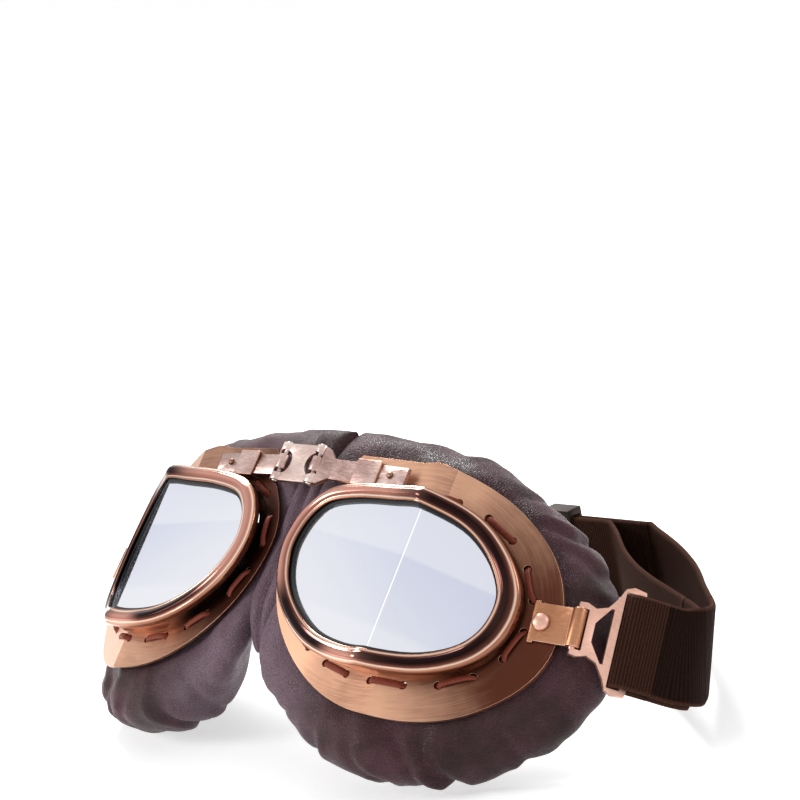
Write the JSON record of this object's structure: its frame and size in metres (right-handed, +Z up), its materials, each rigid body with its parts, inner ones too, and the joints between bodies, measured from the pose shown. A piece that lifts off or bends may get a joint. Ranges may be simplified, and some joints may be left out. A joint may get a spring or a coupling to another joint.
{
  "type": "split-lens goggles",
  "caption": "Vintage flying goggles: mirrored split lenses in copper rims, laced leather pads, a pivoting sliding nose bridge and an elastic head strap.",
  "frame": {"origin": "middle of the outline, on the table the goggles stand on", "axes": "+X to the wearer's left, the viewer's right from the front; faces -Y; +Z up"},
  "size_m": [0.238, 0.1524, 0.0839],
  "materials": {
    "bridge_metal": "satin, pale copper",
    "pin_metal": "bright satin",
    "flange_copper": "brushed antique copper",
    "housing_copper": "satin antique copper",
    "rim_copper": "polished dark copper",
    "gasket_rubber": "matte black",
    "mirror_lens": "silver mirror coat",
    "lace_leather": "rust-red, matte",
    "rivet_metal": "domed, satin",
    "tab_copper": "brushed copper",
    "loop_copper": "satin rose copper",
    "pad_leather": "dark purple-brown, soft sheen",
    "lining_cloth": "black felt",
    "strap_elastic": "woven dark brown elastic",
    "slider_metal": "black satin"
  },
  "bodies": {
    "bridge": {"bridge_link": "bridge_metal", "hinge_pin_l": "pin_metal", "hinge_pin_r": "pin_metal", "nose_piece": "pad_leather", "strap_side_l": "strap_elastic", "strap_side_r": "strap_elastic", "strap_inner": "strap_elastic", "strap_rear": "strap_elastic"},
    "arm_l": {"arm_l": "bridge_metal", "arm_stop_l": "rivet_metal"},
    "half_l": {"sleeve_l": "rim_copper", "flange_l": "flange_copper", "housing_l": "housing_copper", "rim_l": "rim_copper", "gasket_l": "gasket_rubber", "lens_l": "mirror_lens", "lace_l": "lace_leather", "tab_rivet_l": "rivet_metal", "pad_l": "pad_leather", "lining_l": "lining_cloth"},
    "tab_l": {"tab_l": "tab_copper"},
    "loop_l": {"strap_loop_l": "loop_copper", "strap_end_l": "strap_elastic"},
    "arm_r": {"arm_r": "bridge_metal", "arm_stop_r": "rivet_metal"},
    "half_r": {"sleeve_r": "rim_copper", "flange_r": "flange_copper", "housing_r": "housing_copper", "rim_r": "rim_copper", "gasket_r": "gasket_rubber", "lens_r": "mirror_lens", "lace_r": "lace_leather", "tab_rivet_r": "rivet_metal", "pad_r": "pad_leather", "lining_r": "lining_cloth"},
    "tab_r": {"tab_r": "tab_copper"},
    "loop_r": {"strap_loop_r": "loop_copper", "strap_end_r": "strap_elastic"},
    "slider": {"slider": "slider_metal"}
  },
  "joints": [
    {"name": "arm_hinge_l", "type": "hinge", "parent": "bridge", "child": "arm_l", "pos_m": [-0.0072, -0.03201, 0.07842], "axis": [0, 0.6947, 0.7193], "range_deg": [-8, 20], "deforming": ["nose_piece", "strap_side_l"]},
    {"name": "sleeve_slide_l", "type": "slide", "parent": "arm_l", "child": "half_l", "axis": [-0.9969, 0.0564, -0.0545], "range_m": [-0.0015, 0.002], "deforming": ["nose_piece", "strap_side_l"]},
    {"name": "tab_swivel_l", "type": "hinge", "parent": "half_l", "child": "tab_l", "pos_m": [-0.0873, -0.03451, 0.04094], "axis": [-0.4384, -0.6465, 0.6244], "range_deg": [-10, 8], "deforming": ["strap_side_l"]},
    {"name": "loop_hinge_l", "type": "hinge", "parent": "tab_l", "child": "loop_l", "pos_m": [-0.0961, -0.03104, 0.03922], "axis": [0.1095, 0.6511, 0.7511], "range_deg": [-8, 25], "deforming": ["strap_side_l"]},
    {"name": "arm_hinge_r", "type": "hinge", "parent": "bridge", "child": "arm_r", "pos_m": [0.0072, -0.03201, 0.07842], "axis": [0, 0.6947, 0.7193], "range_deg": [-20, 8], "deforming": ["nose_piece", "strap_side_r", "strap_inner"]},
    {"name": "sleeve_slide_r", "type": "slide", "parent": "arm_r", "child": "half_r", "axis": [0.9969, 0.0564, -0.0545], "range_m": [-0.0015, 0.002], "deforming": ["nose_piece", "strap_side_r", "strap_inner"]},
    {"name": "tab_swivel_r", "type": "hinge", "parent": "half_r", "child": "tab_r", "pos_m": [0.0873, -0.03451, 0.04094], "axis": [0.4384, -0.6465, 0.6244], "range_deg": [-8, 10], "deforming": ["strap_side_r", "strap_inner"]},
    {"name": "loop_hinge_r", "type": "hinge", "parent": "tab_r", "child": "loop_r", "pos_m": [0.0961, -0.03104, 0.03922], "axis": [-0.1095, 0.6511, 0.7511], "range_deg": [-25, 8], "deforming": ["strap_side_r", "strap_inner"]},
    {"name": "slider_slide", "type": "slide", "parent": "bridge", "child": "slider", "axis": [1, 0, 0], "range_m": [-0.009, 0.009], "deforming": ["strap_inner"]}
  ]
}
